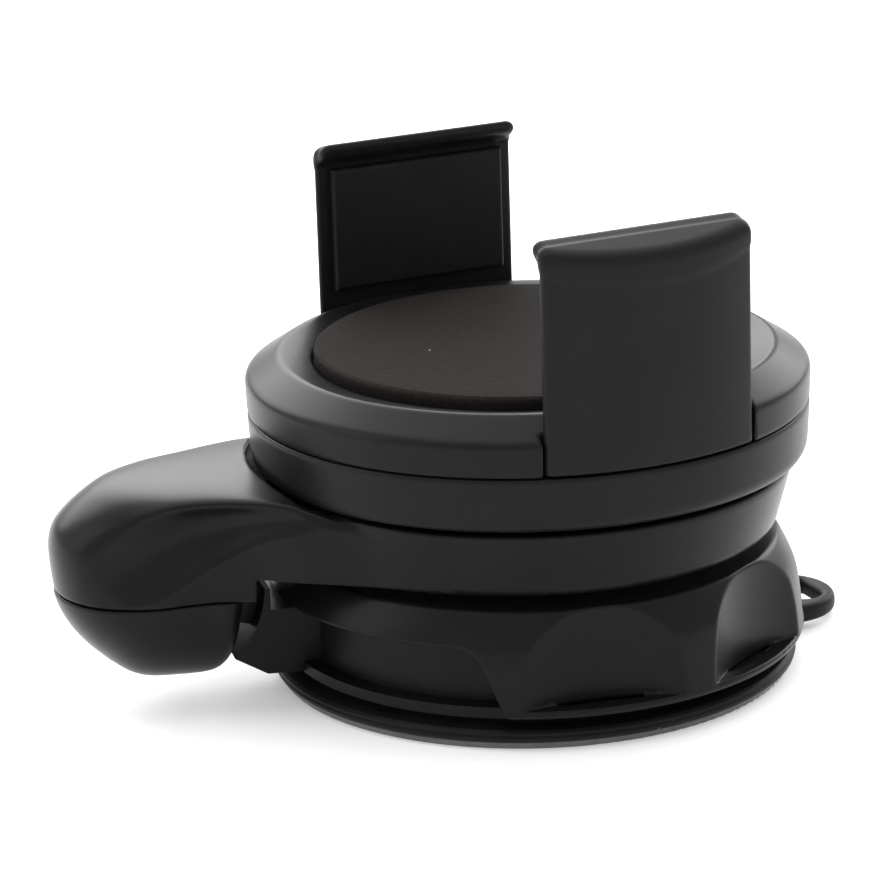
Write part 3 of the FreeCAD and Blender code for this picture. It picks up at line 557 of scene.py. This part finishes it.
head = {"turn": 12.6, "low": 28.2, "radius": 36.0, "inside": 33.6, "floor": 30.2,
        "ceiling": 38.8, "hub": 9.0, "hubLow": 24.4, "padFloor": 41.2, "notch": 31.7,
        "notchLow": 34.5, "slotIn": 4.9, "slotOut": 13.35, "slotFrom": 20, "slotTop": 38.85,
        "wallHalf": 16.04, "wallIn": 30.1, "halfAngle": 23.3}
jawHalf = head["radius"] * math.sin(math.radians(head["halfAngle"]))


def headLowerShape(x, y, z):
    r = np.hypot(x, y)
    body = profileSolid(r, z, [(0, head["low"]), (33.8, head["low"]), (35.1, 28.7), (35.7, 29.7),
                               (35.9, 32.0), (36.0, 35.3), (35.85, 35.5), (0, 35.5)], 0.3)
    body = larger(body, -np.maximum(r - head["inside"], head["floor"] - z), 0.3)
    hub = np.maximum(r - head["hub"], np.maximum(head["hubLow"] - z, z - head["floor"] + 0.2))
    return np.minimum(body, hub)


def headUpperShape(x, y, z):
    r = np.hypot(x, y)
    across, towards = turnedXY(x, y, head["turn"])
    u, v = abs(across), abs(towards)
    body = profileSolid(r, z, [(0, 35.62), (35.9, 35.62), (36.0, 35.8), (36.1, 39.6),
                               (35.8, 40.1), (31.7, 42.65), (0, 42.65)], 0.25)
    above = head["padFloor"] - z
    dish = np.minimum(np.maximum(sideOf(r, z, (27.6, 41.7), (31.3, 42.55)), above),
                      np.maximum(r - 27.4, above))
    body = larger(body, -dish, 0.2)
    wall = np.maximum(u - head["wallHalf"], head["wallIn"] - v)
    cavity = np.maximum(np.maximum(r - head["inside"], z - head["ceiling"]), -wall)
    notch = np.maximum(np.maximum(u - jawHalf - 0.3, head["notch"] - v), head["notchLow"] - z)
    beside = np.sign(towards) * across  # each rack leaves on its own side of the middle
    slot = np.maximum(np.maximum(head["slotIn"] - beside, beside - head["slotOut"]),
                      np.maximum(head["slotFrom"] - v, z - head["slotTop"]))
    return larger(body, -np.minimum(np.minimum(cavity, notch), slot), 0.3)


jaw = {"inner": 32.0, "low": 35.8, "top": 64.5, "overhang": 2.2, "slope": 0.35, "lidSoft": 1.5,
       "noseFoot": (-32.6, 60.9), "noseTip": (-29.8, 62.9)}


def jawShape(way):
    def shape(x, y, z):
        u, v = turnedXY(x, y, head["turn"])
        u, v = u * way, v * way
        r = np.hypot(u, v)
        lean = math.hypot(1, jaw["slope"])
        lid = (z - jaw["top"] + jaw["slope"] * (v - jaw["inner"] + jaw["overhang"])) / lean
        body = larger(larger(r - head["radius"], abs(u) - jawHalf, 0.7), jaw["low"] - z, 0.25)
        body = larger(body, lid, jaw["lidSoft"])
        wall = larger(body, jaw["inner"] - v, 0.4)
        nose = larger(body, jaw["inner"] - jaw["overhang"] - v, 0.9)
        nose = larger(nose, sideOf(-v, z, jaw["noseFoot"], jaw["noseTip"]), 0.8)
        return smaller(wall, nose, 0.5)
    return shape


def makeJaw(side, way):
    middle = Vector((0, 34 * way, 0))
    middle.rotate(Matrix.Rotation(math.radians(head["turn"]), 3, "Z"))
    low = (middle.x - 17, middle.y - 8, 35)
    high = (middle.x + 17, middle.y + 8, 65)
    wall = skin("jawWall", jawShape(way), low, high, 0.3)
    # the rack under the cover is cut from the exact part
    rack = bmesh.new()
    rack.from_mesh(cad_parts["jaw_" + side].data)
    out = Vector((0, way, 0))
    out.rotate(Matrix.Rotation(math.radians(head["turn"]), 3, "Z"))
    for point, normal in ((out * 31.9 * mm, out), (Vector((0, 0, 45 * mm)), Vector((0, 0, 1)))):
        cut = bmesh.ops.bisect_plane(rack, geom=rack.verts[:] + rack.edges[:] + rack.faces[:],
                                     plane_co=point, plane_no=normal, clear_outer=True)
        cutEdges = [e for e in cut["geom_cut"] if isinstance(e, bmesh.types.BMEdge)]
        bmesh.ops.holes_fill(rack, edges=cutEdges)
    mesh = bpy.data.meshes.new("jawRack")
    rack.to_mesh(mesh)
    rack.free()
    tongue = bpy.data.objects.new("jawRack", mesh)
    scene.collection.objects.link(tongue)
    piece = joined("jaw_" + side + "_shell", [wall, tongue])
    piece.data.set_sharp_from_angle(angle=math.radians(50))
    dress(piece, "jawPlastic", "jaw_" + side, "jaw_plastic", "jaw_" + side)


pad = {"radius": 27.2, "floor": 41.2, "top": 43.4, "crown": 0.08}


def makePad():
    rim, top = pad["radius"], pad["top"]
    rings = [(rim * t, top - pad["crown"] * t * t) for t in (0.9, 0.75, 0.55, 0.35, 0.15)]
    piece = lathe("gripFoam", [(0, pad["floor"]), (rim - 0.2, pad["floor"]), (rim, top - 0.9),
                               (rim - 0.08, top - 0.45), (rim - 0.45, top - 0.12)]
                  + rings + [(0, top)], 180, 0.1)
    dress(piece, "foam", "head", "foam", "grip_pad")


makeCup()
piece = skin("lockRing", ringShape, (-36, -36, 4), (36, 36, 17.6), 0.33)
dress(piece, "ringPlastic", "lock_ring", "ring_plastic", "lock_ring")
piece = skin("armShell", armShape, (-63, -34.5, 15.8), (34.5, 34.5, 30), 0.36)
dress(piece, "armPlastic", "arm", "arm_plastic", "arm_shell")
piece = skin("bulbCap", capShape, (-63, -13.2, 3), (-39, 13.2, 16), 0.26)
dress(piece, "armPlastic", "arm", "arm_plastic", "bulb_cap")
piece = skin("headLower", headLowerShape, (-36.2, -36.2, 24.2), (36.2, 36.2, 35.6), 0.36)
dress(piece, "headPlastic", "head", "head_plastic", "head_base")
piece = skin("headUpper", headUpperShape, (-36.4, -36.4, 35.4), (36.4, 36.4, 42.8), 0.3)
dress(piece, "headPlastic", "head", "head_plastic", "head_cover")
makePad()
makeJaw("near", -1)
makeJaw("far", 1)
print("pieces made")


studio = {"floorShade": 0.9, "floorGlow": 0.22, "world": 1.0, "top": 4.6, "back": 14.0,
          "left": 2.0, "right": 6.0}


def makeFloor():
    mesh = bpy.data.meshes.new("floor")
    mesh.from_pydata([(-4, -4, 0), (4, -4, 0), (4, 4, 0), (-4, 4, 0)], [], [(0, 1, 2, 3)])
    floor = bpy.data.objects.new("floor", mesh)
    scene.collection.objects.link(floor)
    f = Finish("paperFloor")
    grain = f.noise(60, 3, 0.5)
    shade = studio["floorShade"]
    f.set(Base_Color=f.ramp(grain, [(0.3, (shade,) * 3), (0.7, (shade + 0.02,) * 3)]), Roughness=0.8)
    f.shader.inputs["Emission Color"].default_value = (1, 1, 1, 1)
    f.shader.inputs["Emission Strength"].default_value = studio["floorGlow"]
    mesh.materials.append(f.material)


def softLight(name, place, aim, width, height, power):
    light = bpy.data.lights.new(name, "AREA")
    light.shape = "RECTANGLE"
    light.size, light.size_y, light.energy = width, height, power
    lamp = bpy.data.objects.new(name, light)
    lamp.location = place
    lamp.rotation_euler = (Vector(aim) - Vector(place)).to_track_quat("-Z", "Y").to_euler()
    scene.collection.objects.link(lamp)


def makeStudio():
    makeFloor()
    world = bpy.data.worlds.new("studio")
    world.use_nodes = True
    background = world.node_tree.nodes["Background"]
    background.inputs[0].default_value = (1, 1, 1, 1)
    background.inputs[1].default_value = studio["world"]
    scene.world = world
    softLight("overhead", (0, 0.15, 0.9), (0, 0, 0), 1.0, 1.0, studio["top"])
    softLight("behind", (-0.2, 1.1, 0.7), (0, 0, 0.02), 1.4, 0.8, studio["back"])
    softLight("left", (-1.0, 0.1, 0.5), (0, 0, 0.02), 0.6, 0.8, studio["left"])
    softLight("right", (0.9, 0.75, 0.55), (0, 0, 0.02), 0.7, 0.7, studio["right"])


# metres and degrees: a long lens a little above the object, turned to the arm's side
view = {"lens": 167.8, "around": -14, "above": 16.35, "roll": -1.5, "pan": 1.226, "tilt": -0.615,
        "aimHeight": 0.0355, "distance": 0.5256}


def makeCamera():
    data = bpy.data.cameras.new("camera")
    data.lens, data.sensor_width = view["lens"], 36.0
    data.clip_start, data.clip_end = 0.01, 20
    camera = bpy.data.objects.new("camera", data)
    scene.collection.objects.link(camera)
    around, above = math.radians(view["around"]), math.radians(view["above"])
    back = Vector((math.sin(around) * math.cos(above), -math.cos(around) * math.cos(above),
                   math.sin(above)))
    facing = back.to_track_quat("Z", "Y").to_matrix()
    for angle, axis in (("roll", "Z"), ("pan", "Y"), ("tilt", "X")):
        facing = facing @ Matrix.Rotation(math.radians(view[angle]), 3, axis)
    place = Vector((0, 0, view["aimHeight"])) + back * view["distance"]
    camera.matrix_world = Matrix.Translation(place) @ facing.to_4x4()
    scene.camera = camera


makeStudio()
makeCamera()
scene.view_settings.view_transform = "Standard"
